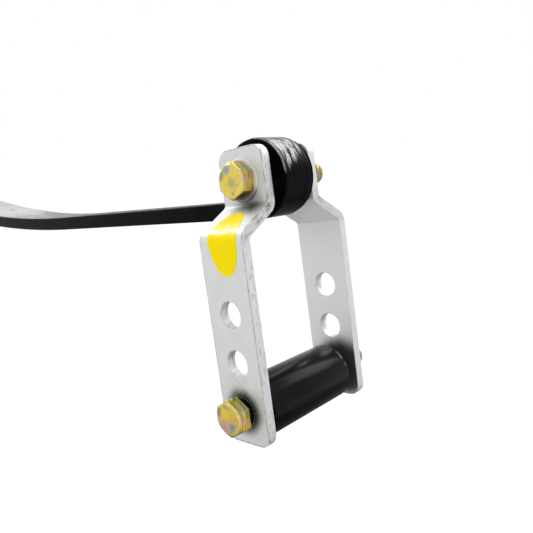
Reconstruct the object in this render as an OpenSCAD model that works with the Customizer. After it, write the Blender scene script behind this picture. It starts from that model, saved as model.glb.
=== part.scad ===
// Helper leaf spring: one tapered blade with rolled eyes, a joggled shackle and a roller at each end.
// X runs along the blade, Y along the bolts, Z up. The origin is the middle of the flat seat under the blade.

/* [Blade] */
// Thickness of the blade
blade_t = 11.6; // [8:0.1:14]
// Width of the blade over its middle
blade_w = 57.15; // [45:0.05:70]
// Width of the blade at the eye
eye_w = 24; // [20:0.5:28]
// Length of the flat seat in the middle
seat_len = 100; // [60:5:160]
// Length of blade that keeps the full width
full_w_len = 280; // [180:10:360]
// Bottom radius of the curved stretch at each side of the seat
camber_r = 1400; // [1000:10:3000]
// Angle that each curved stretch turns through
camber_deg = 10; // [5:0.5:12]
// Straight length from the curved stretch to the eye
straight_len = 246; // [200:1:320]
// Outer diameter of the rolled eye
eye_od = 50.8; // [46:0.2:58]
// Gap between the tip of the rolled eye and the blade
tip_gap = 0.8; // [0.4:0.1:2]

/* [Bushes] */
// Outer diameter of the bush flange
flange_od = 49; // [40:0.5:54]
// Thickness of the bush flange
flange_t = 6; // [4:0.25:8]

/* [Shackle plates] */
// Width of the plate
plate_w = 38.1; // [32:0.1:46]
// Thickness of the plate
plate_t = 6.35; // [4:0.05:8]
// Clear distance between the plates at the roller
window_w = 86.4; // [78:0.2:100]
// Flat of the plate between the washer's edge and the first bend
neck_flat = 0.1; // [0:0.1:8]
// Angle that the plate turns through at each bend
bend_deg = 60; // [40:1:65]
// Inside radius of each bend
bend_r = 3.2; // [2:0.1:5]
// Depth of the first spare hole below the eye bolt
first_hole = 78.9; // [74:0.1:96]
// Pitch of the three lower holes
hole_pitch = 30.1; // [24:0.1:36]
// Plate beyond the eye bolt
top_margin = 19.9; // [17:0.1:24]
// Plate beyond the roller bolt
bottom_margin = 20.6; // [18:0.2:30]
// Radius of the upper corners of the plate
top_corner_r = 8; // [3:0.5:12]
// Radius of the lower corners of the plate
bottom_corner_r = 8.5; // [3:0.5:12]
// Outward swing of the shackle at rest
swing = 12; // [0:0.1:20]

/* [Bolts] */
// Diameter of both bolts
bolt_d = 14.3; // [12:0.1:15]
// Metal between the bolt and each flat of its head and nut
hex_wall = 3.175; // [2:0.005:5]
// Height of the bolt head
head_h = 9; // [7:0.1:11]
// Height of the eye nut's hexagon
eye_nut_h = 12; // [8:0.1:14]
// Height of the roller nut's hexagon
roller_nut_h = 8; // [6:0.1:12]
// Thickness of the nylon ring in each lock nut
ring_t = 0.95; // [0.5:0.05:1.5]
// Eye bolt beyond its nut
eye_bolt_end = 6.3; // [1:0.1:8]
// Roller bolt beyond its nut
roller_bolt_end = 6.5; // [1:0.1:8]
// Turn of the eye bolt's head from corners up
eye_bolt_turn = 7; // [-30:1:30]
// Turn of the roller bolt's head from corners up
roller_bolt_turn = 2; // [-30:1:30]
// Outer diameter of the flat washers
washer_od = 27; // [24:0.5:34]
// Thickness of the flat washers
washer_t = 1.2; // [1:0.1:3]

/* [Roller] */
// Outer diameter of the roller
roller_od = 38.1; // [32:0.1:44]
// Gap between the roller and the plate on the head side
roller_gap_head = 1.7; // [0.5:0.1:8]
// Gap between the roller and the plate on the nut side
roller_gap_nut = 8.5; // [0.5:0.1:12]
// Clearance of the roller on its sleeve, on the radius
roller_clear = 1.25; // [0.2:0.05:3]
// Wall of the spacer sleeve
sleeve_wall = 1.3; // [1:0.1:3]
// Sleeve that stands proud of the plate on the head side
sleeve_proud_head = 4.3; // [1:0.1:6]
// Sleeve that stands proud of the plate on the nut side
sleeve_proud_nut = 1.7; // [1:0.1:6]

/* [Sticker] */
// Length of the sticker along the bent plate
sticker_len = 46; // [30:0.5:48]
// Width of the sticker
sticker_w = 25; // [14:0.5:30]
// Thickness of the sticker
sticker_t = 0.15; // [0.1:0.05:0.3]
// How far the sticker lies from the plate's middle line
sticker_shift = 1; // [0:0.1:4]
// How far the sticker's middle lies below the middle of the lower bend
sticker_drop = 1.75; // [0:0.25:10]
// Lean of the sticker's long axis
sticker_lean = 3.5; // [-10:0.5:10]

/* [Hidden] */
// running clearance of a pin in its hole, on the radius
fit = 0.05;
// end clearance between faces that turn on each other, and between the bush halves
play = 0.15;
// nylon collar of a lock nut: its height, and the wall round its groove
collar_h = 4;
collar_wall = 1.2;
// how far the round edge of a hexagon's outer face lies inside its flats
hex_edge = 0.4;
// overshoot of cutters past a face
eps = 1;
// smoothness of turned and drilled forms, and the angle steps of bent outlines
fn_round = 96;
round_step = 2.5;
camber_step = 0.25;

// the blade's path along its underside
camber_x = seat_len / 2 + camber_r * sin(camber_deg);
camber_z = camber_r * (1 - cos(camber_deg));
tangent_x = camber_x + straight_len * cos(camber_deg);
tangent_z = camber_z + straight_len * sin(camber_deg);
eye_r = eye_od / 2;
eye_bore_r = eye_r - blade_t;
eye_x = tangent_x - eye_r * sin(camber_deg);
eye_z = tangent_z + eye_r * cos(camber_deg);
tip_deg = asin((eye_bore_r - tip_gap) / eye_r);

// the shackle, in its own frame: eye bolt on the Y axis, plates hanging along -Z
neck_w = eye_w + 2 * flange_t + 2 * play;
upper_y = neck_w / 2;
lower_y = window_w / 2;
joggle = lower_y - upper_y;
bend_mid_r = bend_r + plate_t / 2;
// what is left for the slanted flat between the two bends
slant = (joggle - 2 * bend_mid_r * (1 - cos(bend_deg))) / sin(bend_deg);
upper_end_z = -(washer_od / 2 + neck_flat);
lower_end_z = upper_end_z - 2 * bend_mid_r * sin(bend_deg) - slant * cos(bend_deg);
roller_bolt_z = -(first_hole + 2 * hole_pitch);
plate_bottom_z = roller_bolt_z - bottom_margin;
sleeve_bore_r = bolt_d / 2 + fit;
sleeve_r = sleeve_bore_r + sleeve_wall;
hole_r = sleeve_r + fit;
eye_hole_r = bolt_d / 2 + fit;
// the loose roller hangs with the top of its bore on the sleeve
roller_bore_r = sleeve_r + roller_clear;
roller_z = roller_bolt_z - roller_clear + fit;

eye_grip = upper_y + plate_t + washer_t;
roller_grip = lower_y + plate_t + (sleeve_proud_head + sleeve_proud_nut) / 2;
sleeve_shift = (sleeve_proud_head - sleeve_proud_nut) / 2;
hex_af = bolt_d + 2 * hex_wall;
groove_r = bolt_d / 2 + ring_t;
collar_r = groove_r + collar_wall;
chamfer = 0.8;

// A cylinder along Y from y0 to y1.
module rod(r, y0, y1) {
    translate([0, y0, 0])
        rotate([-90, 0, 0])
            cylinder(r = r, h = y1 - y0, $fn = fn_round);
}

// A tube along Y from y0 to y1.
module tube(r_out, r_in, y0, y1) {
    difference() {
        rod(r_out, y0, y1);
        rod(r_in, y0 - eps, y1 + eps);
    }
}

// A turned form along Y: the outline gives [radius, y].
module turned(outline) {
    rotate([-90, 0, 0])
        rotate_extrude($fn = fn_round)
            polygon(outline);
}

// Puts a right-hand end piece at the eye, swung outwards by the rest angle.
module at_eye(side) {
    mirror([side < 0 ? 1 : 0, 0, 0])
        translate([eye_x, 0, eye_z])
            children();
}

module at_shackle(side) {
    at_eye(side)
        rotate([0, -swing, 0])
            children();
}

// Points of a round stretch about c, from angle a0 to a1.
function arc(c, r, a0, a1, step) =
    let (n = ceil(abs(a1 - a0) / step))
    [for (i = [0 : n]) let (a = a0 + (a1 - a0) * i / n) c + r * [cos(a), sin(a)]];

// Edge view of the blade's right half: out along the underside, round the eye to its tip, back along the top.
camber_centre = [seat_len / 2, camber_r];
eye_centre = [eye_x, eye_z];
run_deg = -90 + camber_deg;
half_outline = concat(
    arc(camber_centre, camber_r, -90, run_deg, camber_step),
    arc(eye_centre, eye_r, run_deg, 180 + camber_deg + tip_deg, round_step),
    [eye_centre, eye_centre + eye_bore_r * [cos(run_deg), sin(run_deg)]],
    arc(camber_centre, camber_r - blade_t, run_deg, -90, camber_step)
);
last = len(half_outline) - 1;
blade_outline = concat(half_outline, [for (i = [last : -1 : 0]) [-half_outline[i][0], half_outline[i][1]]]);

// Plan of the blade: full width over the middle, then an even taper that ends short of the bush flanges.
module blade_plan() {
    full_x = full_w_len / 2;
    neck_x = eye_x - max(eye_r, flange_od / 2) - eps;
    end_x = eye_x + eye_od;
    polygon([
        [-end_x, -eye_w / 2], [-neck_x, -eye_w / 2], [-full_x, -blade_w / 2],
        [full_x, -blade_w / 2], [neck_x, -eye_w / 2], [end_x, -eye_w / 2],
        [end_x, eye_w / 2], [neck_x, eye_w / 2], [full_x, blade_w / 2],
        [-full_x, blade_w / 2], [-neck_x, eye_w / 2], [-end_x, eye_w / 2]
    ]);
}

module leaf() {
    color([0.06, 0.06, 0.065])
        intersection() {
            difference() {
                rotate([90, 0, 0])
                    linear_extrude(height = blade_w, center = true)
                        polygon(blade_outline);
                for (side = [-1, 1])
                    at_eye(side)
                        rod(eye_bore_r, -blade_w / 2 - eps, blade_w / 2 + eps);
            }
            translate([0, 0, -eps])
                linear_extrude(height = 2 * eps + eye_z + eye_od)
                    blade_plan();
        }
}

// A bush half: a sleeve that reaches the middle of the eye and a flange outside it.
module bush(side, face) {
    out_r = eye_bore_r - fit;
    in_r = bolt_d / 2 + fit;
    edge = 1;
    color([0.09, 0.09, 0.095])
        at_eye(side)
            mirror([0, face > 0 ? 1 : 0, 0])
                turned([
                    [in_r, -eye_w / 2 - flange_t], [flange_od / 2 - edge, -eye_w / 2 - flange_t],
                    [flange_od / 2, -eye_w / 2 - flange_t + edge], [flange_od / 2, -eye_w / 2 - edge / 2],
                    [flange_od / 2 - edge / 2, -eye_w / 2], [out_r, -eye_w / 2],
                    [out_r, -play / 2], [in_r, -play / 2]
                ]);
}

// Edge view of a shackle plate as [distance from the middle, height]: down its inner face, up its outer face.
// The upper bend's centre lies outside the plate, the lower one's inside the window.
upper_bend = [upper_y + plate_t + bend_r, upper_end_z];
lower_bend = [lower_y - bend_r, lower_end_z];
plate_outline = concat(
    [[upper_y, top_margin]],
    arc(upper_bend, bend_r + plate_t, 180, 180 + bend_deg, round_step),
    arc(lower_bend, bend_r, bend_deg, 0, round_step),
    [[lower_y, plate_bottom_z], [lower_y + plate_t, plate_bottom_z]],
    arc(lower_bend, bend_r + plate_t, 0, bend_deg, round_step),
    arc(upper_bend, bend_r, 180 + bend_deg, 180, round_step),
    [[upper_y + plate_t, top_margin]]
);

// The joggled strip, before its corners are rounded and its holes drilled: its outline leads towards -Y.
module joggled_strip() {
    rotate([90, 0, -90])
        linear_extrude(height = plate_w, center = true)
            polygon(plate_outline);
}

// The strip's face outline, with its rounded corners.
module plate_face() {
    half = plate_w / 2;
    for (s = [-1, 1]) {
        translate([s * (half - top_corner_r), top_margin - top_corner_r])
            circle(r = top_corner_r, $fn = fn_round);
        translate([s * (half - bottom_corner_r), plate_bottom_z + bottom_corner_r])
            circle(r = bottom_corner_r, $fn = fn_round);
    }
    translate([-half + top_corner_r, plate_bottom_z + bottom_corner_r])
        square([plate_w - 2 * top_corner_r, top_margin - plate_bottom_z - bottom_corner_r]);
    translate([-half + bottom_corner_r, plate_bottom_z])
        square([plate_w - 2 * bottom_corner_r, 2 * bottom_corner_r]);
    translate([-half, plate_bottom_z + bottom_corner_r])
        square([plate_w, top_margin - top_corner_r - plate_bottom_z - bottom_corner_r]);
}

// A shackle plate: head side at face -1, nut side at face 1.
module plate(side, face) {
    reach = lower_y + plate_t + eps;
    color([0.8, 0.81, 0.82])
        at_shackle(side)
            mirror([0, face > 0 ? 1 : 0, 0])
                difference() {
                    intersection() {
                        joggled_strip();
                        rotate([90, 0, 0])
                            linear_extrude(height = reach)
                                plate_face();
                    }
                    rod(eye_hole_r, -reach, 0);
                    for (i = [0 : 2])
                        translate([0, 0, -first_hole - i * hole_pitch])
                            rod(hole_r, -reach, 0);
                }
}

// A hexagon along Y, corners up and down; its outer end, at -Y or +Y, is chamfered by a cone.
module hexagon(y0, y1, outer) {
    corner_r = hex_af / sqrt(3);
    face_r = hex_af / 2 - hex_edge;
    rise = (corner_r - face_r) * tan(30);
    over = eps * tan(30);
    intersection() {
        translate([0, y0, 0])
            rotate([-90, 30, 0])
                cylinder(r = corner_r, h = y1 - y0, $fn = 6);
        if (outer < 0)
            turned([[0, y0], [face_r, y0], [corner_r + eps, y0 + rise + over],
                    [corner_r + eps, y1 + eps], [0, y1 + eps]]);
        else
            turned([[0, y0 - eps], [corner_r + eps, y0 - eps], [corner_r + eps, y1 - rise - over],
                    [face_r, y1], [0, y1]]);
    }
}

// A hex bolt with its head's underside at -grip and its shank's end at tip.
module hex_bolt(grip, tip) {
    r = bolt_d / 2;
    color([0.78, 0.66, 0.32])
        union() {
            hexagon(-grip - head_h, -grip, -1);
            turned([[0, -grip - eps], [r, -grip - eps], [r, tip - chamfer], [r - chamfer, tip], [0, tip]]);
        }
}

// A lock nut with its face at grip: hexagon, round collar, and a groove for the nylon ring.
module lock_nut(hex_h, grip) {
    top = grip + hex_h;
    rim = top + collar_h;
    edge = chamfer;
    color([0.74, 0.62, 0.3])
        difference() {
            union() {
                hexagon(grip, top, 1);
                turned([[0, top - eps], [collar_r, top - eps], [collar_r, rim - edge],
                        [collar_r - edge, rim], [0, rim]]);
            }
            rod(bolt_d / 2 + fit, grip - eps, rim + eps);
            rod(groove_r, top, rim - collar_wall);
        }
}

// The nylon ring fills the nut's groove and grips the bolt.
module nut_ring(hex_h, grip) {
    top = grip + hex_h;
    color([0.85, 0.86, 0.84])
        tube(groove_r - fit, bolt_d / 2 + fit / 2, top + fit, top + collar_h - collar_wall - fit);
}

module eye_bolt(side) {
    at_shackle(side)
        rotate([0, eye_bolt_turn, 0])
            hex_bolt(eye_grip, eye_grip + eye_nut_h + collar_h + eye_bolt_end);
}

module eye_nut(side) {
    at_shackle(side)
        lock_nut(eye_nut_h, eye_grip);
}

module eye_nut_ring(side) {
    at_shackle(side)
        nut_ring(eye_nut_h, eye_grip);
}

module washer(side, face) {
    color([0.78, 0.79, 0.8])
        at_shackle(side)
            mirror([0, face > 0 ? 1 : 0, 0])
                tube(washer_od / 2, eye_hole_r, -eye_grip, -eye_grip + washer_t);
}

// Puts what the roller bolt carries at the lowest holes, drawn towards the heads by the sleeve's shift.
module at_roller_bolt(side) {
    at_shackle(side)
        translate([0, -sleeve_shift, roller_bolt_z])
            children();
}

module roller_bolt(side) {
    at_roller_bolt(side)
        rotate([0, roller_bolt_turn, 0])
            hex_bolt(roller_grip, roller_grip + roller_nut_h + collar_h + roller_bolt_end);
}

module roller_nut(side) {
    at_roller_bolt(side)
        lock_nut(roller_nut_h, roller_grip);
}

module roller_nut_ring(side) {
    at_roller_bolt(side)
        nut_ring(roller_nut_h, roller_grip);
}

module sleeve(side) {
    color([0.05, 0.05, 0.05])
        at_roller_bolt(side)
            tube(sleeve_r, sleeve_bore_r, -roller_grip, roller_grip);
}

module roller(side) {
    r = roller_od / 2;
    y0 = -lower_y + roller_gap_head;
    y1 = lower_y - roller_gap_nut;
    color([0.1, 0.1, 0.1])
        at_shackle(side)
            translate([0, 0, roller_z])
                turned([
                    [roller_bore_r, y0], [r - chamfer, y0], [r, y0 + chamfer],
                    [r, y1 - chamfer], [r - chamfer, y1], [roller_bore_r, y1]
                ]);
}

// The plate's outer surface as an unrolled strip: [y, z] at distance s below the middle of the lower bend.
bend_out_r = bend_r + plate_t;
half_arc = bend_out_r * bend_deg / 2 * PI / 180;
function outer_point(s, lift) =
    let (r = bend_out_r + lift, cy = -lower_y + bend_r, cz = lower_end_z)
    s > half_arc ? [cy - r, cz - (s - half_arc)] :
    s > -half_arc ? let (a = (half_arc - s) / bend_out_r * 180 / PI) [cy - r * cos(a), cz + r * sin(a)] :
    let (d = -half_arc - s)
    [cy - r * cos(bend_deg) + d * sin(bend_deg), cz + r * sin(bend_deg) + d * cos(bend_deg)];

// The sticker is an ellipse laid over the lower bend, a hair proud of the plate.
module sticker(side) {
    rows = 56;
    lift = 0.05;
    pts = [for (i = [0 : rows])
        let (a = 180 * i / rows, d = -sticker_len / 2 * cos(a), half = max(0.02, sticker_w / 2 * sin(a)))
        for (k = [[-half, lift], [half, lift], [half, lift + sticker_t], [-half, lift + sticker_t]])
            let (q = outer_point(sticker_drop + d, k[1])) [k[0] + d * tan(sticker_lean), q[0], q[1]]];
    sides = [for (i = [0 : rows - 1]) for (k = [0 : 3])
        [4 * i + k, 4 * i + (k + 1) % 4, 4 * i + 4 + (k + 1) % 4, 4 * i + 4 + k]];
    ends = [[3, 2, 1, 0], [for (k = [0 : 3]) 4 * rows + k]];
    color([0.98, 0.87, 0.02])
        at_shackle(side)
            translate([sticker_shift, 0, 0])
                polyhedron(points = pts, faces = concat(sides, ends));
}

leaf();
bush(1, -1);  // right_bush_head_side
bush(1, 1);  // right_bush_nut_side
plate(1, -1);  // right_plate_head_side
plate(1, 1);  // right_plate_nut_side
eye_bolt(1);  // right_eye_bolt
eye_nut(1);  // right_eye_nut
eye_nut_ring(1);  // right_eye_nut_ring
washer(1, -1);  // right_washer_head_side
washer(1, 1);  // right_washer_nut_side
roller_bolt(1);  // right_roller_bolt
roller_nut(1);  // right_roller_nut
roller_nut_ring(1);  // right_roller_nut_ring
sleeve(1);  // right_sleeve
roller(1);  // right_roller
sticker(1);  // right_sticker
bush(-1, -1);  // left_bush_head_side
bush(-1, 1);  // left_bush_nut_side
plate(-1, -1);  // left_plate_head_side
plate(-1, 1);  // left_plate_nut_side
eye_bolt(-1);  // left_eye_bolt
eye_nut(-1);  // left_eye_nut
eye_nut_ring(-1);  // left_eye_nut_ring
washer(-1, -1);  // left_washer_head_side
washer(-1, 1);  // left_washer_nut_side
roller_bolt(-1);  // left_roller_bolt
roller_nut(-1);  // left_roller_nut
roller_nut_ring(-1);  // left_roller_nut_ring
sleeve(-1);  // left_sleeve
roller(-1);  // left_roller
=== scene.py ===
"""A helper leaf spring: a tapered blade with rolled eyes, and at each end a joggled shackle and a roller."""
import bmesh
import bpy
import numpy as np
from mathutils import Matrix


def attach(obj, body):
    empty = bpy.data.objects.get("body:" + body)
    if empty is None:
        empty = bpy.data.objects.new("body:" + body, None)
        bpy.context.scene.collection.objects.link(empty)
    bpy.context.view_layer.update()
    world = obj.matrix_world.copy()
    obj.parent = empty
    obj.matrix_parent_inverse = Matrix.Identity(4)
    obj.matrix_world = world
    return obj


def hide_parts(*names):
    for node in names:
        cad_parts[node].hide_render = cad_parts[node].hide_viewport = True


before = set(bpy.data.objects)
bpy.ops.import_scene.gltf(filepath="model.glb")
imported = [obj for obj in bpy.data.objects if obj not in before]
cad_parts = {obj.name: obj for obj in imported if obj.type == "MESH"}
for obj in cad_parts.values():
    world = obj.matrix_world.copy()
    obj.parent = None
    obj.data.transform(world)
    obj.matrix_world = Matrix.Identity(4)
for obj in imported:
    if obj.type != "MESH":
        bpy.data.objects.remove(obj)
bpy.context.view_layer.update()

# Blade
# One bar of spring steel, cut narrower towards both ends, where it is rolled up into an eye, and hardened.
# It is painted black; the paint lies unevenly over the scale that the rolling leaves round the eyes.
# On each eye's crown grey patches of scale are painted highlight, as is a grey line on its near edge.
mm = 0.001
blade_t = 11.6
blade_w = 57.15
eye_w = 24
seat_half = 50
full_w_half = 140
camber_r = 1400
camber_turn = np.radians(10)
straight_len = 246
eye_r = 25.4
tip_gap = 0.8
neck_gap = 1
blade_edge = 1.3
tip_spread = 6
left_shift = 2000
merge_reach = 2e-6
sliver = 1e-7

camber_x = seat_half + camber_r * np.sin(camber_turn)
camber_z = camber_r * (1 - np.cos(camber_turn))
eye_x = camber_x + straight_len * np.cos(camber_turn) - eye_r * np.sin(camber_turn)
eye_z = camber_z + straight_len * np.sin(camber_turn) + eye_r * np.cos(camber_turn)
eye_bore = eye_r - blade_t


def skin(name, patches, sharp=35):
    """Makes one closed mesh of several patches. A patch is a grid of points in millimetres, rows by columns,
    and the same grid of surface distances. Each four neighbours make a face; lines that meet are merged, and
    every face is turned outwards. Edges that turn more than sharp degrees stay crisp."""
    points, faces, across, start = [], [], [], 0
    for grid, distances in patches:
        rows, cols = grid.shape[:2]
        i, j = np.arange(rows - 1)[:, None] * cols, np.arange(cols - 1)[None, :]
        corner = start + i + j
        faces.append(np.stack([corner, corner + 1, corner + cols + 1, corner + cols], -1).reshape(-1, 4))
        points.append(grid.reshape(-1, 3) * mm)
        across.append(distances.reshape(-1, 2) * mm)
        start += rows * cols
    points, faces, across = np.concatenate(points), np.concatenate(faces), np.concatenate(across)
    mesh = bpy.data.meshes.new(name)
    mesh.from_pydata(points, [], faces)
    mesh.uv_layers.new(name="skin").data.foreach_set("uv", across[faces.ravel()].astype(np.float32).ravel())
    piece = bpy.data.objects.new(name, mesh)
    bpy.context.scene.collection.objects.link(piece)
    work = bmesh.new()
    work.from_mesh(mesh)
    bmesh.ops.remove_doubles(work, verts=work.verts, dist=merge_reach)
    bmesh.ops.dissolve_degenerate(work, edges=work.edges, dist=sliver)
    bmesh.ops.recalc_face_normals(work, faces=work.faces)
    work.to_mesh(mesh)
    work.free()
    mesh.shade_smooth()
    mesh.set_sharp_from_angle(angle=np.radians(sharp))
    return piece


def blade_width(x):
    """Half the blade's width at x: full over the middle, then an even taper that ends short of the eye."""
    neck_x = eye_x - eye_r - neck_gap
    share = np.clip((np.abs(x) - full_w_half) / (neck_x - full_w_half), 0, 1)
    return blade_w / 2 + share * (eye_w - blade_w) / 2


def blade_path():
    """The blade's middle line from its centre out to one tip: a straight seat, an arc of the camber's
    radius, a straight run, and an arc round the eye. Gives [x, z], the direction in radians and the length
    so far."""
    seat_steps, arc_steps, run_steps, wrap_steps = 8, 44, 40, 120
    middle_r, wrap_r = camber_r - blade_t / 2, eye_r - blade_t / 2
    wrap = np.pi * 1.5 + np.arcsin((eye_bore - tip_gap) / eye_r)
    a = np.linspace(0, camber_turn, arc_steps)[1:]
    b = camber_turn + np.linspace(0, wrap, wrap_steps)[1:]
    s = np.linspace(0, straight_len, run_steps)[1:]
    seat = np.stack([np.linspace(0, seat_half, seat_steps), np.full(seat_steps, blade_t / 2),
                     np.zeros(seat_steps)], -1)
    arc = np.stack([seat_half + middle_r * np.sin(a), blade_t / 2 + middle_r * (1 - np.cos(a)), a], -1)
    run = np.stack([arc[-1, 0] + s * np.cos(camber_turn), arc[-1, 1] + s * np.sin(camber_turn),
                    np.full(len(s), camber_turn)], -1)
    wrapped = np.stack([eye_x + wrap_r * np.sin(b), eye_z - wrap_r * np.cos(b), b], -1)
    line = np.concatenate([seat, arc, run, wrapped])
    step = np.hypot(*np.diff(line[:, :2], axis=0).T)
    return line[:, :2], line[:, 2], np.concatenate([[0], np.cumsum(step)])


def rounded_bar(edge, flat_steps, round_steps):
    """A bar's section as [side, inset, height]: side runs from -1 to 1, inset is how far a point lies inside
    the side face, and height is counted from the middle; its four corners are arcs of the radius edge."""
    a = np.linspace(0, np.pi / 2, round_steps)
    corner = np.stack([np.ones_like(a), edge * (1 - np.cos(a)), blade_t / 2 - edge * (1 - np.sin(a))], -1)
    side = np.linspace(0, 1, flat_steps)[1:-1]
    top = np.stack([side[::-1], np.full(len(side), edge), np.full(len(side), blade_t / 2)], -1)
    quarter = np.concatenate([corner, top, [[0, 0, blade_t / 2]]])
    left = quarter[::-1] * [-1, 1, 1]
    upper = np.concatenate([quarter, left[1:]])
    lower = upper[::-1] * [1, 1, -1]
    return np.concatenate([upper, lower, upper[:1]])


path, turn, run_len = blade_path()
section = rounded_bar(blade_edge, flat_steps=10, round_steps=6)
side, inset, height = section.T
normal = np.stack([-np.sin(turn), np.cos(turn)], -1)
flat = path[:, None, :] + normal[:, None, :] * height[None, :, None]
half = blade_width(flat[..., 0])
half_blade = np.stack([flat[..., 0], side * (half - inset), flat[..., 1]], -1)
girth = np.concatenate([[0], np.cumsum(np.hypot(np.diff(side * (eye_w / 2 - inset)), np.diff(height)))])
along = np.stack(np.broadcast_arrays(run_len[:, None], girth[None, :]), -1)
tip = np.stack([half_blade[-1] * (1 - s) + half_blade[-1].mean(0) * s for s in (0, 0.5, 1)])
tip_along = np.stack([along[-1] + [s * tip_spread, 0] for s in (0, 0.5, 1)])
left = [-1, 1, 1]
right_half = [(half_blade, along), (tip, tip_along)]
left_half = [(points * left, spread + [left_shift, 0]) for points, spread in right_half]
blade = skin("blade", right_half + left_half)


class Value:
    """A number or colour in a finish. A sum, difference or product with a number or another value adds the
    Math node that works it out."""

    def __init__(self, finish, socket):
        self.finish, self.socket = finish, socket

    def math(self, operation, *rest):
        return self.finish.node("ShaderNodeMath", {"operation": operation}, dict(enumerate((self, *rest))))

    def __add__(self, other):
        return self.math("ADD", other)

    def __mul__(self, other):
        return self.math("MULTIPLY", other)

    def __sub__(self, other):
        return self.math("SUBTRACT", other)

    def __rsub__(self, other):
        return self.finish.node("ShaderNodeMath", {"operation": "SUBTRACT"}, {0: other, 1: self})

    __radd__, __rmul__ = __add__, __mul__


class Finish:
    """A material, or the world's surface, that is built from nodes."""

    def __init__(self, name, owner=None):
        self.owner = owner or bpy.data.materials.new(name)
        self.owner.use_nodes = True
        self.tree = self.owner.node_tree
        self.tree.nodes.clear()

    def node(self, kind, settings=None, sockets=None, out=None):
        """Adds a node of a kind, with its settings first and then the values or links of its sockets. Gives
        the output of the name out, or the first one that is in use."""
        made = self.tree.nodes.new(kind)
        for name, setting in (settings or {}).items():
            if name == "stops":
                stops = made.color_ramp.elements
                while len(stops) < len(setting):
                    stops.new(0.5)
                for stop, (place, colour) in zip(stops, setting):
                    stop.position, stop.color = place, (*colour, 1)
            else:
                setattr(made, name, setting)
        for name, value in (sockets or {}).items():
            socket = made.inputs[name] if isinstance(name, int) else next(
                s for s in made.inputs if s.name == name and s.enabled)
            if isinstance(value, Value):
                self.tree.links.new(value.socket, socket)
            else:
                socket.default_value = (*value, 1) if socket.type == "RGBA" and len(value) == 3 else value
        return Value(self, made.outputs[out] if out else next((s for s in made.outputs if s.enabled), None))

    def about(self, spot, centre, size):
        """A spot counted from a centre, in sizes."""
        return self.node("ShaderNodeMapping", {"vector_type": "TEXTURE"},
                         {"Vector": spot, "Location": centre, "Scale": size})

    def place(self, centre=(0, 0, 0), size=(1, 1, 1)):
        """The place in the object's own frame, from a centre and in sizes."""
        return self.about(self.node("ShaderNodeTexCoord", out="Object"), centre, size)

    def surface(self, size=(1, 1, 1), centre=(0, 0, 0)):
        """Distances over the piece's surface, from a centre and in sizes."""
        return self.about(self.node("ShaderNodeUVMap", {"uv_map": "skin"}), centre, size)

    def axis(self, spot, letter):
        """One coordinate of a spot, by its letter."""
        return self.node("ShaderNodeSeparateXYZ", {}, {"Vector": spot}, letter)

    def distance(self, spot):
        """How far a spot lies from its centre."""
        return self.node("ShaderNodeVectorMath", {"operation": "LENGTH"}, {0: spot}, "Value")

    def noise(self, spot, detail=3, roughness=0.5, distortion=0):
        """Noise from 0 to 1, whose coarsest grain is one unit of the spot."""
        return self.node("ShaderNodeTexNoise", {}, {"Vector": spot, "Scale": 1, "Detail": detail,
                                                    "Roughness": roughness, "Distortion": distortion}, "Fac")

    def ramp(self, value, *stops):
        """A colour read off stops, each of a value and a colour."""
        return self.node("ShaderNodeValToRGB", {"stops": stops}, {"Fac": value})

    def step(self, value, low, high):
        """0 below low, 1 above high, and smooth between them."""
        return self.node("ShaderNodeMapRange", {"interpolation_type": "SMOOTHSTEP"},
                         {"Value": value, "From Min": low, "From Max": high})

    def band(self, value, start, full, fall, end):
        """1 from full to fall, 0 below start and above end, and smooth between them."""
        return self.step(value, start, full) * (1 - self.step(value, fall, end))

    def mix(self, share, first, second):
        """The first colour where the share is 0, and the second where it is 1."""
        return self.node("ShaderNodeMix", {"data_type": "RGBA"}, {"Factor": share, "A": first, "B": second})

    def bump(self, height, depth, strength=1):
        """The surface's direction, tipped as by a relief of this height times depth in metres."""
        return self.node("ShaderNodeBump", {}, {"Height": height, "Distance": depth, "Strength": strength})

    def done(self, **sockets):
        """The finished material: a principled surface with these sockets."""
        named = {name.replace("_", " "): value for name, value in sockets.items()}
        shader = self.node("ShaderNodeBsdfPrincipled", {}, named)
        self.node("ShaderNodeOutputMaterial", {}, {"Surface": shader})
        return self.owner


paint = Finish("black_paint")
scale_marks = paint.noise(paint.surface((0.016, 0.0045, 1)), detail=5, roughness=0.6, distortion=0.5)
pits = paint.noise(paint.place(size=(0.0012,) * 3), detail=2)
clouds = paint.noise(paint.place(size=(0.035,) * 3), detail=3)
height = paint.axis(paint.place(), "Z")
blotches = paint.noise(paint.surface((0.011, 0.0035, 1)), detail=5, roughness=0.6, distortion=0.8)
from_side = paint.axis(paint.place(), "Y") + eye_w / 2 * mm
lit_scale_z, crown_z, lit_scale_slope, lit_scale_grey = (0.102, 0.108), (0.1075, 0.113), 0.62, (0.52, 0.52, 0.52)
# Grey patches of scale, laid only high on the eye's crown and more on its near side: painted highlight.
lit_scale = paint.step(height + blotches * 0.016 - from_side * lit_scale_slope, *lit_scale_z)
lit_scale = lit_scale * paint.step(blotches, 0.40, 0.56) * (1 - paint.step(height, *crown_z) * 0.6)
across = paint.axis(paint.surface(), "Y")
top_band, eye_band = (0.001, 0.003, 0.0220, 0.0236), (0.020, 0.040, 0.085, 0.095)
top_face = paint.band(across, *top_band) * (1 - paint.band(height, *eye_band))
# A thin grey line along the bar's near edge, high on the eye, is a painted highlight.
lip_band, lip_z = (0.0343, 0.0350, 0.0358, 0.0366), (0.095, 0.104)
lip = paint.band(across, *lip_band) * paint.step(height, *lip_z)
black = paint.ramp(clouds + scale_marks * 0.5, (0.45, (0.002, 0.002, 0.002)), (1.05, (0.008, 0.008, 0.008)))
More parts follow.
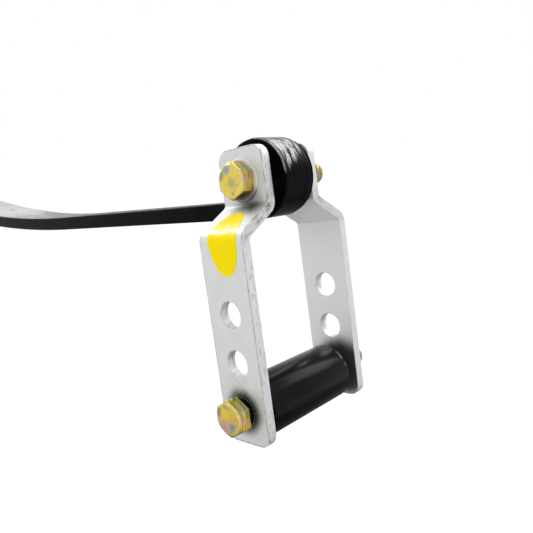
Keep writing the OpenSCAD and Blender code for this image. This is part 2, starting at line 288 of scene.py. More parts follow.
black_paint = paint.done(
    Base_Color=paint.mix(lit_scale * paint.step(pits, 0.2, 0.7) + lip * 0.3, black, lit_scale_grey),
    Roughness=0.16 + scale_marks * 0.3,
    Normal=paint.bump(scale_marks + pits * 0.12, 0.00045, 0.6),
    Specular_IOR_Level=0.025,
    Coat_Weight=lit_scale * 0.9 + top_face * 0.3 + lip * 0.3,
    Coat_Roughness=0.12,
)


def dress(piece, material, slot, body, *replaced):
    """Gives a piece its finish and its body, and lets it stand for CAD nodes."""
    piece.data.materials.clear()
    piece.data.materials.append(material)
    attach(piece, body)
    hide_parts(*replaced)


dress(blade, black_paint, "black_leaf", "spring", "leaf")

# Bushes
# A pair of cast polyurethane bushes lines each eye; their wide flanges keep the plates off the blade.
# They are matt black, with a soft edge left by the mould.
ends = {"right": 1, "left": -1}
flange_r = 24.5
flange_t = 6
flange_slope = (3.2, 3.6)
play = 0.15
bolt_r = 7.15
fit = 0.05
bore_r = bolt_r + fit
round_r = 10
least = 1e-9


def eased(profile, cuts, steps):
    """Rounds a profile's corners. The profile is [radius, height] at each corner, by columns; each corner is
    replaced by a parabola that leaves its lines at the corner's own cut, or at 0.45 of the shorter one."""
    rows = [profile[:1]]
    t = np.linspace(0, 1, steps)[:, None, None]
    for before, corner, after, cut in zip(profile[:-2], profile[1:-1], profile[2:], cuts):
        back, ahead = before - corner, after - corner
        far_back = np.linalg.norm(back, axis=-1, keepdims=True)
        far_ahead = np.linalg.norm(ahead, axis=-1, keepdims=True)
        reach = np.minimum(cut, 0.45 * np.minimum(far_back, far_ahead))
        p = corner + back / np.maximum(far_back, least) * reach
        q = corner + ahead / np.maximum(far_ahead, least) * reach
        rows.append((1 - t) ** 2 * p + 2 * t * (1 - t) * corner + t ** 2 * q)
    return np.concatenate(rows + [profile[-1:]])


def at_eye(side, points):
    """Puts points, given about the eye's middle, at one end; the left end mirrors the right one."""
    return (points + [eye_x, 0, eye_z]) * [side, 1, 1]


def turned_piece(corners, cuts, columns=96, steps=4):
    """A form turned about the Y axis: the profile's radius and height at each angle, rounded at its corners,
    is carried round the axis. Corners are [radius, height] numbers, or arrays with one value for each
    column. The surface distances are the way along the profile, and the way round a circle of round_r."""
    angle = np.linspace(0, 2 * np.pi, columns + 1)
    profile = np.stack([np.stack(np.broadcast_arrays(*[np.asarray(v, float) for v in corner], angle)[:2], -1)
                        for corner in corners])
    profile = eased(profile, cuts, steps)
    radius, height = profile[..., 0], profile[..., 1]
    grid = np.stack([radius * np.cos(angle), height, radius * np.sin(angle)], -1)
    travel = np.cumsum(np.concatenate([np.zeros((1, len(angle))),
                                       np.linalg.norm(np.diff(profile, axis=0), axis=-1)]), axis=0)
    return grid, np.stack([travel, np.broadcast_to(angle * round_r, travel.shape)], -1)


rubber = Finish("moulded_bush")
grain = rubber.noise(rubber.place(size=(0.0008,) * 3), detail=2)
dust = rubber.noise(rubber.place(size=(0.012,) * 3), detail=4)
bush_black = rubber.done(
    Base_Color=rubber.ramp(dust, (0.35, (0.0008, 0.0008, 0.0008)), (0.75, (0.002, 0.002, 0.002))),
    Roughness=0.55 + dust * 0.2,
    Normal=rubber.bump(grain, 0.00006),
    Specular_IOR_Level=0.006,
)
for end, side in ends.items():
    for face, lean in (("head", -1), ("nut", 1)):
        out_r, inner, outer = eye_bore - fit, eye_w / 2, eye_w / 2 + flange_t
        grid, spread = turned_piece(
            [(bore_r, play / 2), (bore_r, outer), (flange_r - flange_slope[0], outer),
             (flange_r, outer - flange_slope[1]), (flange_r, inner), (out_r, inner), (out_r, play / 2),
             (bore_r, play / 2)],
            (0.4, 1.5, 1.5, 0.7, 0.02, 0.4), steps=7)
        bush = skin(f"{end}_bush_{face}", [(at_eye(side, grid * [1, lean, 1]), spread)])
        dress(bush, bush_black, "black_bush", "spring", f"{end}_bush_{face}_side")

# Plates
# Each shackle is a pair of quarter-inch steel bars, joggled outwards by two bends to clear the roller.
# They are cut and punched before bending, then zinc plated to a pale satin; sawn edges stay a little rough.
plate_w = 38.1
plate_t = 6.35
upper_y = eye_w / 2 + flange_t + play
lower_y = 43.2
bend_turn = np.radians(60)
bend_inner_r = 3.2
bend_mid_r = bend_inner_r + plate_t / 2
washer_r = 13.5
neck_flat = 0.1
first_hole = 78.9
hole_pitch = 30.1
top_margin = 19.9
bottom_margin = 20.6
top_corner = 8
bottom_corner = 8.5
swing = np.radians(12)
sleeve_wall = 1.3
sleeve_r = bore_r + sleeve_wall
plate_edge = 0.5
hole_edge = 0.45
inner_shift = 1000
wall_shift = 2000

slant = (lower_y - upper_y - 2 * bend_mid_r * (1 - np.cos(bend_turn))) / np.sin(bend_turn)
upper_end = washer_r + neck_flat
lower_end = upper_end + 2 * bend_mid_r * np.sin(bend_turn) + slant * np.cos(bend_turn)
roller_bolt_z = -(first_hole + 2 * hole_pitch)
bend_len = bend_mid_r * bend_turn
folds = upper_end + np.cumsum([0, bend_len, slant, bend_len])
unrolled = folds[3] - lower_end


def folded(u, v, depth):
    """Bends the flat blank: u runs across it, v down its middle surface from the eye bolt, depth outwards
    from the middle. Straight to the first fold, an arc, the slant, the opposite arc, and straight again."""
    a = np.clip((v - folds[0]) / bend_mid_r, 0, bend_turn)
    b = np.clip((v - folds[2]) / bend_mid_r, 0, bend_turn)
    d = np.clip(v - folds[1], 0, slant)
    y = bend_mid_r * (1 - np.cos(a)) + d * np.sin(bend_turn)
    z = np.minimum(v, folds[0]) + bend_mid_r * np.sin(a) + d * np.cos(bend_turn)
    y += bend_mid_r * (np.cos(bend_turn - b) - np.cos(bend_turn))
    z += bend_mid_r * (np.sin(bend_turn) - np.sin(bend_turn - b)) + np.maximum(v - folds[3], 0)
    lean = a - b
    y, z = upper_y + plate_t / 2 + y + depth * np.cos(lean), z - depth * np.sin(lean)
    return np.stack(np.broadcast_arrays(u, -y, -z), -1)


def at_shackle(side, points):
    """Puts points of the hanging shackle at one end, swung outwards about its eye bolt."""
    x, y, z = np.moveaxis(points, -1, 0)
    swung = np.stack([x * np.cos(swing) - z * np.sin(swing), y, x * np.sin(swing) + z * np.cos(swing)], -1)
    return at_eye(side, swung)


def bar_end(v, corner, outward, edge, steps=9, across=17):
    """The outline of a bar's end from one side to the other: a round corner, the cut across and the other
    corner, all drawn in by edge. Gives [u, v] and the outward direction."""
    a = np.linspace(0, np.pi / 2, steps)
    left = np.stack([-plate_w / 2 + corner * (1 - np.cos(a)), v - outward * corner * (1 - np.sin(a))], -1)
    left_out = np.stack([-np.cos(a), outward * np.sin(a)], -1)
    u = np.linspace(left[-1, 0], -left[-1, 0], across)[1:-1]
    middle, middle_out = np.stack([u, np.full_like(u, v)], -1), np.tile([0.0, outward], (len(u), 1))
    line = np.concatenate([left, middle, left[::-1] * [-1, 1]])
    out = np.concatenate([left_out, middle_out, left_out[::-1] * [-1, 1]])
    return line - out * edge, out


def plate_blank():
    """The flat blank as patches of [u, v, depth] with their surface distances: its two faces in bands across
    the bar, each with a round hole or plain, and the rounded rims of its outline and its holes, which run
    from face to face. The outer face's distances are [u, v], and the outline's rim goes on outwards from
    there; the inner face's lie inner_shift further on, and those of the holes' rims wall_shift."""
    bottom = unrolled - roller_bolt_z + bottom_margin
    inner_w = plate_w / 2 - plate_edge
    holes = [(0.0, bore_r)] + [(unrolled + first_hole + i * hole_pitch, sleeve_r + fit) for i in range(3)]
    top_line, top_out = bar_end(-top_margin, top_corner, -1, plate_edge)
    low_line, low_out = bar_end(bottom, bottom_corner, 1, plate_edge)
    shoulder, ankle = top_line[0, 1], low_line[0, 1]
    cols, bend_rows, slant_rows, band_rows, foot_rows, gap_rows = 19, 13, 7, 13, 9, 12
    across = np.linspace(-inner_w, inner_w, cols)
    cuts = [folds[0] - 0.02, holes[1][0] - hole_pitch / 2, holes[1][0] + hole_pitch / 2,
            holes[2][0] + hole_pitch / 2]
    bends = np.concatenate([np.linspace(folds[0], folds[1], bend_rows),
                            np.linspace(folds[1], folds[2], slant_rows)[1:],
                            np.linspace(folds[2], folds[3], bend_rows)[1:]])
    plain = np.concatenate([[cuts[0]], bends, np.linspace(folds[3], cuts[1], gap_rows)[1:]])
    bands = [np.linspace(shoulder, cuts[0], band_rows), np.linspace(cuts[1], cuts[2], band_rows),
             np.linspace(cuts[2], cuts[3], band_rows), np.linspace(cuts[3], ankle, foot_rows)]

    def level(v):
        """The points of one row across the bar."""
        return np.stack([across, np.full_like(across, v)], -1)

    def sides(v):
        """The points where the rows meet the long sides: down the right one, and up the left one."""
        right = np.stack([np.full_like(v, inner_w), v], -1)[1:]
        return right, np.stack([np.full_like(v, -inner_w), v], -1)[::-1][1:]

    faces, rims = [], []
    for i, ((centre, radius), v) in enumerate(zip(holes, bands)):
        head = top_line if i == 0 else level(v[0])
        foot = low_line if i == 3 else level(v[-1])
        right, left = sides(v)
        ring = np.concatenate([head, right, foot[::-1][1:], left])
        toward = ring - [0, centre]
        toward = toward / np.linalg.norm(toward, axis=1, keepdims=True)
        rim = [0, centre] + toward * (radius + hole_edge)
        t = np.linspace(0, 1, 9)[:, None, None] ** 1.3
        faces.append(rim * (1 - t) + ring * t)
        rims.append((rim, -toward, hole_edge, wall_shift))
    u, v = np.meshgrid(across, plain)
    faces.append(np.stack([u, v], -1))
    patches = []
    for depth, shift in ((plate_t / 2, 0), (-plate_t / 2, inner_shift)):
        patches += [(np.concatenate([face, np.full(face.shape[:2] + (1,), depth)], -1), face + [0, shift])
                    for face in faces]
    side_v = np.concatenate([bands[0], plain[1:]] + [v[1:] for v in bands[1:]])
    right, left = sides(side_v)
    outline = np.concatenate([top_line, right, low_line[::-1][1:], left])
    outward = np.concatenate([top_out, np.tile([1.0, 0.0], (len(right), 1)), low_out[::-1][1:],
                              np.tile([-1.0, 0.0], (len(left), 1))])
    a = np.linspace(0, np.pi / 2, 6)
    for line, out, edge, shift in [(outline, outward, plate_edge, 0)] + rims:
        reach = np.concatenate([edge * np.sin(a), np.full(3, edge), edge * np.sin(a[::-1])])
        drop = edge * (1 - np.cos(a))
        straight = np.linspace(plate_t / 2 - edge, edge - plate_t / 2, 5)[1:-1]
        depth = np.concatenate([plate_t / 2 - drop, straight, drop[::-1] - plate_t / 2])
        rim = line[None] + out[None] * reach[:, None, None]
        deep = np.broadcast_to(depth[:, None, None], rim.shape[:2] + (1,))
        spread = line[None] + out[None] * (edge + plate_t / 2 - deep) + [0, shift]
        patches.append((np.concatenate([rim, deep], -1), spread))
    return patches, bottom


zinc = Finish("satin_zinc")
blank, blank_end = plate_blank()
mill = zinc.noise(zinc.surface((0.0011, 0.060, 1)), detail=4, roughness=0.55)
haze = zinc.noise(zinc.surface((0.016, 0.024, 1)), detail=3, roughness=0.5)
speck = zinc.noise(zinc.surface((0.0009, 0.0009, 1)), detail=3)
u, v = zinc.axis(zinc.surface(), "X"), zinc.axis(zinc.surface(), "Y")
outside = u.math("ABSOLUTE").math("SUBTRACT", plate_w / 2 * mm)
outside = outside.math("MAXIMUM", v * -1 - top_margin * mm).math("MAXIMUM", v - blank_end * mm)
sawn = zinc.band(outside, -0.0002, 0.0004, 0.007, 0.008)
tears = zinc.noise(zinc.surface((0.0024, 0.0060, 1)), detail=5, roughness=0.65, distortion=0.8)
low_hole = (unrolled - roller_bolt_z) * mm


def shade_spot(centre, size, soft):
    """Painted shade on the surface about a centre: 1 in the middle, 0 a size away, uneven at its border."""
    border = 1.25
    near = zinc.distance(zinc.surface((*size, 1), (*centre, 0)))
    return 1 - zinc.step(near + speck * 0.3 + haze * 0.2, border - soft, border)


# Painted shadow and dark reflection round the sleeve outside, and round the roller between the plates.
roller_shadow = shade_spot((0, low_hole), (0.0172,) * 2, 0.45).math(
    "MAXIMUM", shade_spot((0.0075, low_hole + inner_shift * mm + 0.0010), (0.030, 0.0262), 0.45))
# Painted dark reflection of the eye bolt's head in the upper bend, below its washer.
crook_reflection = shade_spot((0.0045, 0.0186), (0.020, 0.0150), 0.85)
inner_from, wall_from = inner_shift / 2 * mm, (inner_shift + wall_shift) / 2 * mm
wall = zinc.step(v, wall_from, wall_from + 0.1)
lit_inner_face = zinc.step(v, inner_from, inner_from + 0.1) * (1 - wall)
cleaner = 1 - zinc.step(zinc.axis(zinc.place(), "Y"), -0.01, 0.01) * 0.65
seam = zinc.band(outside, -0.0011, -0.0006, -0.0001, 0.0003) * zinc.step(tears, 0.36, 0.56)
joggle = zinc.band(v, (folds[0] - 6) * mm, folds[0] * mm, folds[2] * mm, (folds[3] + 3) * mm)
foot = zinc.step(v, blank_end * mm - 0.0012, blank_end * mm - 0.0004) * (1 - wall)
torn = (sawn * (joggle * 0.35 + 0.3) * cleaner + wall * 0.35) * zinc.step(tears, 0.48, 0.66)
shaded = zinc.step(speck, 0.45, 0.75) * 0.05 + sawn * joggle * 0.12 + foot * sawn * 0.45
# The dark mix holds seam dirt, tears and specks with the painted shadow, reflection and shade.
dirt_and_painted_shade = roller_shadow * 0.96 + crook_reflection * 0.84 + seam * 0.55 + torn + shaded
pale = zinc.ramp(haze * 0.7 + mill * 0.3, (0.32, (0.675, 0.68, 0.68)), (0.68, (0.755, 0.76, 0.76)))
# Painted light: the inner faces, between the plates, are made paler than the outer ones.
pale = zinc.mix(lit_inner_face * 0.85, pale, (0.80, 0.80, 0.80))
plate_zinc = zinc.done(
    Base_Color=zinc.mix(dirt_and_painted_shade, pale, (0.035, 0.037, 0.033)),
    Metallic=0.45,
    Roughness=0.38 + haze * 0.14 + mill * 0.08,
    Normal=zinc.bump(mill * 0.7 + speck * 0.3 + sawn * tears * 4, 0.00006, 0.5),
)
for end, side in ends.items():
    for face, lean in (("head", 1), ("nut", -1)):
        patches = [(at_shackle(side, folded(*np.moveaxis(points, -1, 0)) * [1, lean, 1]), spread)
                   for points, spread in blank]
        plate = skin(f"{end}_{face}_plate", patches)
        dress(plate, plate_zinc, "bright_plate", f"{end}_shackle", f"{end}_plate_{face}_side")

# Washers
# A flat washer, punched from sheet steel and zinc plated, lies under the head and the nut of each eye bolt.
# Painted shade darkens its lowest side, under the bolt head, and a little its rim.
washer_t = 1.2
low_angle = 4.9
eye_grip = upper_y + plate_t + washer_t

bright = Finish("washer_zinc")
tarnish = bright.noise(bright.place(size=(0.004,) * 3), detail=3)
from_bore = bright.axis(bright.surface(), "X")
low_side = (bright.axis(bright.surface(), "Y") - low_angle * round_r * mm).math("ABSOLUTE")
# Painted shade: darker on the low side, below the bolt head, and slightly from the rim onwards.
washer_shade = bright.step(from_bore, 0.0070, 0.0078) * 0.1 + (
    1 - bright.step(low_side + tarnish * 0.003, 0.006, 0.013)) * 0.8
washer_zinc = bright.done(
    Base_Color=bright.mix(washer_shade, bright.ramp(tarnish, (0.3, (0.68, 0.68, 0.68)), (0.7, (0.78, 0.78, 0.775))),
                          (0.05, 0.05, 0.04)),
    Metallic=0.6,
    Roughness=0.40 + tarnish * 0.15,
)
for end, side in ends.items():
    for face, lean in (("head", -1), ("nut", 1)):
        low, high = eye_grip - washer_t, eye_grip
        grid, spread = turned_piece(
            [(bore_r, low), (bore_r, high), (washer_r, high), (washer_r, low), (bore_r, low)],
            (0.15, 0.5, 0.1))
        washer = skin(f"{end}_washer_{face}", [(at_shackle(side, grid * [1, lean, 1]), spread)])
        dress(washer, washer_zinc, "clear_zinc", f"{end}_shackle", f"{end}_washer_{face}_side")

# Bolts
# Cold-headed hexagon bolts: one through the eye's bushes, one through the sleeve that carries the roller.
# They are passivated yellow, which leaves gold with patches of green, pink and grey-lilac.
hex_af = 20.65
hex_cone = np.radians(30)
head_h = 9
head_inset = 0.6
face_ring = 1.2
under_cut = (0.5, 0.35)
lead = 2
thread_pitch = 2.117
thread_len = 12
thread_share = 0.62
tip_inset = 1.15
tip_slope = 0.8
eye_nut_h = 12
roller_nut_h = 8
collar_h = 4
eye_bolt_end = 6.3
roller_bolt_end = 6.5
sleeve_proud = (4.3, 1.7)
roller_grip = lower_y + plate_t + sum(sleeve_proud) / 2
sleeve_shift = (sleeve_proud[0] - sleeve_proud[1]) / 2


def hexagon(angle, flats, crispness=70):
    """The radius of a hexagon with its corners up and down, at each angle: the flats' distances are joined
    by a high power mean, so that the six corners are very slightly round."""
    toward = np.cos(angle[:, None] - np.arange(6) * np.pi / 3)
    return flats / 2 / (np.maximum(toward, 0) ** crispness).sum(1) ** (1 / crispness)


def hex_bolt(grip, tip, turn, hand, columns=192):
    """A bolt along Y with its head's underside at -grip and its end at tip. The head's outer face is cut by
    a flat cone; the thread is a triangle wave along a helix of one pitch for each turn, and fades in along
    the shank; a steeper cone cuts its end."""
    angle = np.linspace(0, 2 * np.pi, columns + 1)
    corner, face = hexagon(angle + turn, hex_af), hex_af / 2 - head_inset
    rise = (corner - face) * np.tan(hex_cone)
    top, under = -grip - head_h, -grip
    head = [(0, top), (face - face_ring, top), (face, top), (corner, top + rise),
            (corner, under - under_cut[0]), (face, under - under_cut[1]), (face, under), (bolt_r, under),
            (bolt_r, under + lead)]
    grid, _ = turned_piece(head, (0.3, 0.5, 0.35, 0.25, 0.12, 0.12, 0.3), columns)
    threaded = np.arange(tip - thread_len, tip - 1e-3, thread_pitch / 16)
    y = np.concatenate([[under + lead], threaded, [tip]])[:, None]
    wave = np.abs(((y / thread_pitch - hand * angle / (2 * np.pi)) % 1) * 2 - 1)
    fade = np.clip((y - tip + thread_len) / lead, 0, 1)
    depth = thread_share * thread_pitch * np.clip(wave * 1.25 - 0.12, 0, 1) * fade
    radius = np.minimum(bolt_r - depth, bolt_r - tip_inset + (tip - y) * tip_slope)
    shank = np.stack([radius * np.cos(angle), np.broadcast_to(y, radius.shape), radius * np.sin(angle)], -1)
    end = np.stack([shank[-1] * [s, 1, s] for s in (1, 0.85, 0.4, 0)])
    whole = np.concatenate([grid, shank, end[1:]])
    travel = np.cumsum(np.linalg.norm(np.diff(whole, axis=0, prepend=whole[:1]), axis=-1), axis=0)
    return whole, np.stack([travel, np.broadcast_to(angle * bolt_r, travel.shape)], -1)


gold_tones = ((0.34, (0.34, 0.32, 0.12)), (0.42, (0.60, 0.54, 0.18)), (0.51, (0.80, 0.59, 0.07)),
              (0.60, (0.74, 0.47, 0.12)), (0.69, (0.66, 0.48, 0.38)))


def yellow_finish(name, centre, patches):
    """Yellow passivation: gold that drifts to olive and pink by slow noise, with patches of a place from the
    centre, a size and a tint. The head's edge carries a painted highlight; streaks run down its flats."""
    gold = Finish(name)
    drift = gold.noise(gold.place(centre, size=(0.0068,) * 3), detail=2, distortion=0.5)
    fine = gold.noise(gold.place(centre, size=(0.0012,) * 3), detail=3)
    colour = gold.ramp(drift * 0.85 + fine * 0.15, *gold_tones)
    for spot, size, tint in patches:
        near = gold.distance(gold.place(tuple(np.add(centre, spot)), size=(size,) * 3))
        colour = gold.mix(1 - gold.step(near + fine * 0.5, 0.6, 1.5), colour, tint)
    from_middle = gold.axis(gold.surface(), "X")
    face_edge, flats_start = (0.0093, 0.0096, 0.0099, 0.0103), (0.0108, 0.0114)
    # Painted highlight: a pale peach rim round the edge of the head's face.
    rim_highlight = gold.band(from_middle, *face_edge)
    stripes = gold.noise(gold.surface((0.0014, 0.020, 1)), detail=3) * gold.step(from_middle, *flats_start)
    colour = gold.mix(gold.step(stripes, 0.42, 0.62) * 0.6, colour, (0.16, 0.12, 0.02))
    colour = gold.mix(rim_highlight * gold.step(fine, 0.35, 0.65) * 0.55, colour, (0.86, 0.72, 0.62))
    return gold.done(
        Base_Color=colour,
        Metallic=1.0,
        Roughness=0.15 + fine * 0.22,
        Normal=gold.bump(fine * 0.6 + drift * 0.4, 0.00012, 0.5),
    )


lilac, pink, olive, shade = (0.33, 0.33, 0.37), (0.62, 0.42, 0.34), (0.44, 0.43, 0.17), (0.05, 0.045, 0.02)
dim, khaki, bright_gold = (0.20, 0.18, 0.15), (0.50, 0.48, 0.26), (0.84, 0.68, 0.06)
bare = (0.48, 0.48, 0.48)
eye_tints = [((-0.004, -0.005, 0.0065), 0.0035, lilac), ((0.001, -0.005, -0.001), 0.004, olive),
             ((0.007, 0.001, 0.008), 0.005, khaki), ((0.0065, 0.001, -0.0085), 0.0035, shade)]
roller_tints = [((-0.003, -0.005, -0.0075), 0.0068, pink), ((0.0035, -0.005, -0.0035), 0.0030, lilac),
                ((0.007, 0.001, 0.008), 0.005, khaki), ((-0.003, -0.005, 0.003), 0.004, bright_gold),
                ((0.0065, 0.001, -0.0085), 0.0035, shade)]
eye_tip = eye_grip + eye_nut_h + collar_h + eye_bolt_end
roller_tip = roller_grip + roller_nut_h + collar_h + roller_bolt_end
for end, side in ends.items():
    for name, grip, tip, degrees, low, shift, tints, end_size, end_tint in (
            ("eye", eye_grip, eye_tip, 7, 0, 0, eye_tints, 0.008, dim),
            ("roller", roller_grip, roller_tip, 2, roller_bolt_z, sleeve_shift, roller_tints, 0.026, bare)):
        grid, spread = hex_bolt(grip, tip, np.radians(degrees), side)
        patches = tints + [((0, (grip + head_h / 2 + tip) * mm, 0), end_size, end_tint)]
        middle = at_shackle(side, np.array([0, -shift - grip - head_h / 2, low])) * mm
        finish = yellow_finish(f"{end}_{name}_bolt_zinc", tuple(middle), patches)
        bolt = skin(f"{end}_{name}_bolt_turned", [(at_shackle(side, grid + [0, -shift, low]), spread)], 40)
        dress(bolt, finish, "yellow_zinc", f"{end}_shackle", f"{end}_{name}_bolt")

# Nuts
# Lock nuts of yellow steel: a hexagon with a round collar, its lip rolled in over a ring of white nylon.
# The ring has no thread of its own, so the bolt cuts into it and is gripped.
nut_inset = 0.4
ring_t = 0.95
collar_wall = 1.2
collar_step = 0.02
groove_step = 0.1
groove_r = bolt_r + ring_t
collar_r = groove_r + collar_wall


def lock_nut(grip, hex_h, columns=192):
    """A lock nut from its bearing face at grip: hexagon, a cone that cuts its corners at both ends, and the
    collar's shoulder; inside, the bore, then the groove for the ring under the collar's lip."""
    angle = np.linspace(0, 2 * np.pi, columns + 1)
    corner, face = hexagon(angle, hex_af), hex_af / 2 - nut_inset
    rise = (corner - face) * np.tan(hex_cone)
    top, rim = grip + hex_h, grip + hex_h + collar_h
    return turned_piece(
        [(bore_r, grip), (face, grip), (corner, grip + rise), (corner, top - rise), (face, top),
         (collar_r, top + collar_step), (collar_r, rim), (bore_r, rim), (bore_r, rim - collar_wall),
         (groove_r, rim - collar_wall), (groove_r, top + groove_step), (bore_r, top), (bore_r, grip)],
        (0.2, 0.25, 0.25, 0.2, 0.3, 1.3, 0.3, 0.1, 0.05, 0.05, 0.05), columns)


milky = Finish("nylon")
milk = milky.noise(milky.place(size=(0.003,) * 3))
nylon = milky.done(
    Base_Color=milky.ramp(milk, (0.3, (0.70, 0.71, 0.68)), (0.7, (0.82, 0.82, 0.79))),
    Roughness=0.4,
)
bronze = (0.36, 0.25, 0.19)
for end, side in ends.items():
    for name, grip, hex_h, low, shift, cast in (
            ("eye", eye_grip, eye_nut_h, 0, 0, bronze),
            ("roller", roller_grip, roller_nut_h, roller_bolt_z, sleeve_shift, khaki)):
        grid, spread = lock_nut(grip, hex_h)
        middle = at_shackle(side, np.array([0, -shift + grip + hex_h / 2, low])) * mm
        finish = yellow_finish(f"{end}_{name}_nut_zinc", tuple(middle), [((0, 0, -0.004), 0.025, cast)])
        nut = skin(f"{end}_{name}_nut_turned", [(at_shackle(side, grid + [0, -shift, low]), spread)], 40)
        dress(nut, finish, "yellow_zinc", f"{end}_shackle", f"{end}_{name}_nut")
        top = grip + hex_h
        inner, outer = bolt_r + fit / 2, groove_r - fit
        start, stop = top + fit, top + collar_h - collar_wall - fit
        grid, spread = turned_piece(
            [(inner, start), (inner, stop), (outer, stop), (outer, start), (inner, start)], (0.2, 0.2, 0.2))
        ring = skin(f"{end}_{name}_nut_nylon", [(at_shackle(side, grid + [0, -shift, low]), spread)])
        dress(ring, nylon, "nylon", f"{end}_shackle", f"{end}_{name}_nut_ring")

# Sleeves and rollers
# A black steel tube spaces the lower bolt's head and nut past both plates; the roller turns loosely on it.
# The roller is a length of thick black plastic tube, turned satin, with a broken edge at both ends.
roller_r = 19.05
roller_play = 1.25
roller_bore = sleeve_r + roller_play
roller_gaps = (1.7, 8.5)
roller_ends = (-lower_y + roller_gaps[0], lower_y - roller_gaps[1])
roller_z = roller_bolt_z - roller_play + fit
highlight_angle = 0.68

tube = Finish("black_tube")
oil = tube.noise(tube.place(size=(0.004,) * 3))
tube_black = tube.done(
    Base_Color=tube.ramp(oil, (0.3, (0.002, 0.002, 0.002)), (0.7, (0.006, 0.006, 0.005))),
    Roughness=0.35,
    Specular_IOR_Level=0.04,
)
plastic = Finish("roller_plastic")
lay = plastic.noise(plastic.place(size=(0.02, 0.0006, 0.02)), detail=3)
scuff = plastic.noise(plastic.place(size=(0.010, 0.030, 0.006)), detail=4)
far_rim = (roller_ends[1] - roller_ends[0] + roller_r - roller_bore) * mm
from_rim = (plastic.axis(plastic.surface(), "X") - far_rim).math("ABSOLUTE")
from_highlight = (plastic.axis(plastic.surface(), "Y") - highlight_angle * round_r * mm).math("ABSOLUTE")
# Painted highlight: a pale blue-grey arc on the far end's rim, at one angle round it.
rim_highlight = (1 - plastic.step(from_rim, 0.0010, 0.0026)) * (1 - plastic.step(from_highlight, 0.0020, 0.0044))
soot = plastic.ramp(scuff, (0.35, (0.001, 0.001, 0.001)), (0.7, (0.005, 0.005, 0.005)))
roller_black = plastic.done(
    Base_Color=plastic.mix(rim_highlight * plastic.step(scuff, 0.35, 0.6), soot, (0.16, 0.18, 0.20)),
    Roughness=0.13 + scuff * 0.16,
    Normal=plastic.bump(lay * 0.4 + scuff * 0.6, 0.00016, 0.5),
    Specular_IOR_Level=0.10,
)
for end, side in ends.items():
    grid, spread = turned_piece(
        [(bore_r, -roller_grip), (bore_r, roller_grip), (sleeve_r, roller_grip), (sleeve_r, -roller_grip),
         (bore_r, -roller_grip)], (0.2, 0.3, 0.3))
    sleeve = skin(f"{end}_spacer", [(at_shackle(side, grid + [0, -sleeve_shift, roller_bolt_z]), spread)])
    dress(sleeve, tube_black, "black_sleeve", f"{end}_shackle", f"{end}_sleeve")
    near, far = roller_ends
    grid, spread = turned_piece(
        [(roller_bore, near), (roller_bore, far), (roller_r, far), (roller_r, near), (roller_bore, near)],
        (0.8, 1.3, 1.3), 144)
    roller = skin(f"{end}_roller_tube", [(at_shackle(side, grid + [0, 0, roller_z]), spread)])
    dress(roller, roller_black, "black_roller", f"{end}_loose_roller", f"{end}_roller")

# Sticker
# A plain oval of yellow vinyl is stuck over the lower bend of the right-hand head-side plate.
# It is die cut, follows the bend, and is pressed to a shine where the plate turns.
sticker_half = (12.5, 23)
sticker_t = 0.15
sticker_gap = 0.05
sticker_shift = 1
sticker_drop = 1.75
sticker_lean = np.radians(3.5)


def oval_sticker():
    """An oval laid over the bend: rings from its middle to its edge on the outer face, the edge, and rings
    back to the middle underneath, sticker_gap clear of the plate."""
    round_steps, top_rings, low_rings = 97, 25, 13
    turn = np.linspace(0, 2 * np.pi, round_steps)
    share = np.concatenate([np.linspace(0, 1, top_rings), np.linspace(1, 0, low_rings)])[:, None]
    lift = np.concatenate([np.full(top_rings, sticker_gap + sticker_t), np.full(low_rings, sticker_gap)])
    lift = lift[:, None]
    bend_middle = (folds[2] + folds[3]) / 2
    outer_share = (bend_mid_r + plate_t / 2) / bend_mid_r
    down = share * sticker_half[1] * -np.cos(turn)
    s = sticker_drop + down
    near = bend_len * outer_share / 2
    v = bend_middle + np.clip(s, -near, near) / outer_share + (s - np.clip(s, -near, near))
    u = sticker_shift + share * sticker_half[0] * np.sin(turn) + down * np.tan(sticker_lean)
    return folded(u, v, plate_t / 2 + lift), np.stack([u, v], -1)


vinyl = Finish("yellow_vinyl")
sheen = vinyl.noise(vinyl.surface((0.006, 0.010, 1)), detail=3)
down = vinyl.axis(vinyl.surface(), "Y")
crease = vinyl.band(down, *((folds[2] + offset) * mm for offset in (-6, -3, 2.5, 5)))
ripple = vinyl.noise(vinyl.surface((0.0045, 0.0022, 1)), detail=2)
yellow_vinyl = vinyl.done(
    Base_Color=vinyl.ramp(sheen, (0.3, (0.97, 0.76, 0.001)), (0.7, (1.0, 0.81, 0.001))),
    Roughness=0.14 + sheen * 0.12,
    Normal=vinyl.bump(sheen, 0.0001, 0.4),
    Specular_IOR_Level=0.04,
    Coat_Weight=crease * (0.25 + vinyl.step(ripple, 0.38, 0.58) * 0.75),
    Coat_Roughness=0.3,
    Coat_IOR=2.1,
)
grid, spread = oval_sticker()
sticker = skin("oval_sticker", [(at_shackle(1, grid), spread)])
dress(sticker, yellow_vinyl, "yellow_sticker", "right_shackle", "right_sticker")

# Surroundings
# A white studio: a pale floor well below the spring, a white world, and broad lamps overhead, behind and at
# the left. In reflections the floor carries painted shade under the right-hand shackle, and is white further
# out.
floor_z = -0.42
reach = 6.0
shade_centre = (0.6, 0.3, floor_z)
floor_mesh = bpy.data.meshes.new("floor")
floor_mesh.from_pydata([(-reach, -reach, floor_z), (reach, -reach, floor_z), (reach, reach, floor_z),
                        (-reach, reach, floor_z)], [], [(0, 1, 2, 3)])
floor = bpy.data.objects.new("floor", floor_mesh)
bpy.context.scene.collection.objects.link(floor)


def rays(finish, *names):
    """1 for rays of the named kinds, and 0 for all others."""
    kinds = [finish.node("ShaderNodeLightPath", out=f"Is {name} Ray") for name in names]
    for kind in kinds[1:]:
        kinds[0] = kinds[0].math("MAXIMUM", kind)
    return kinds[0]


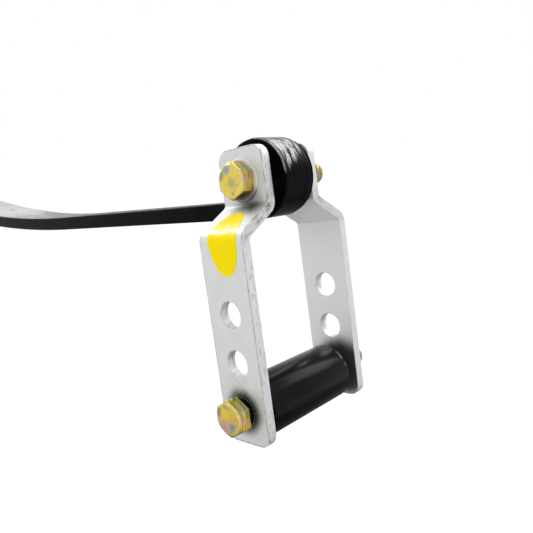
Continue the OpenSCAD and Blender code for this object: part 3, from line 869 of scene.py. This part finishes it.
white = Finish("floor_white")
away = white.distance(white.place(shade_centre))
# Painted shade: the floor seen in reflections is dark round a spot under the right-hand shackle.
reflected_floor_shade = white.ramp(white.step(away, 0.25, 1.35), (0, (0.06, 0.06, 0.06)), (1, (1, 1, 1)))
shown = white.mix(rays(white, "Camera"), reflected_floor_shade, (1, 1, 1))
matt = white.node("ShaderNodeBsdfDiffuse", {}, {"Color": (0.82, 0.82, 0.82)})
glow = white.node("ShaderNodeEmission", {}, {"Color": shown, "Strength": 1.06})
surface = white.node("ShaderNodeMixShader", {}, {
    0: rays(white, "Camera", "Glossy", "Transmission") * 0.9, 1: matt, 2: glow})
white.node("ShaderNodeOutputMaterial", {}, {"Surface": surface})
floor_mesh.materials.append(white.owner)

world = bpy.data.worlds.new("studio")
bpy.context.scene.world = world
sky = Finish("studio", world)
air = sky.node("ShaderNodeBackground", {}, {
    "Color": (1, 1, 1), "Strength": 0.85 + rays(sky, "Camera", "Glossy", "Transmission") * 0.15})
sky.node("ShaderNodeOutputWorld", {}, {"Surface": air})


def softbox(name, place, target, size, power):
    """A rectangular lamp that looks at a target."""
    lamp = bpy.data.lights.new(name, "AREA")
    lamp.shape, lamp.size, lamp.size_y, lamp.energy = "RECTANGLE", size[0], size[1], power
    holder = bpy.data.objects.new(name, lamp)
    away = np.subtract(place, target) / np.linalg.norm(np.subtract(place, target))
    right = np.cross((0, 0.01, 1), away)
    right /= np.linalg.norm(right)
    turned = Matrix(np.stack([right, np.cross(away, right), away], 1)).to_4x4()
    holder.matrix_world = Matrix.Translation(place) @ turned
    bpy.context.scene.collection.objects.link(holder)


softbox("overhead", (0.30, 0.10, 1.05), (0.53, 0, 0), (0.8, 0.8), 3.0)
softbox("behind", (0.49, 1.03, 0.88), (0.53, 0, 0.08), (1.4, 0.5), 8.5)
softbox("left", (-1.95, -0.10, 1.25), (0.50, -0.02, 0.05), (0.98, 0.33), 19)
softbox("far_left", (-1.70, 0.38, 0.30), (-0.2, 0, 0.02), (0.9, 0.5), 2.4)

lens = bpy.data.cameras.new("camera")
lens.sensor_width, lens.lens = 36, 36.56
lens.clip_start, lens.clip_end = 0.01, 50
camera = bpy.data.objects.new("camera", lens)
right, down, ahead = (0.72845, 0.68481, 0.01982), (0.19535, -0.1799, -0.96409), (-0.65666, 0.70617, -0.26482)
basis = np.stack([right, np.negative(down), np.negative(ahead)], 1)
camera.matrix_world = Matrix.Translation((0.76917, -0.25731, 0.12605)) @ Matrix(basis).to_4x4()
bpy.context.scene.collection.objects.link(camera)
bpy.context.scene.camera = camera
bpy.context.scene.view_settings.view_transform = "Standard"
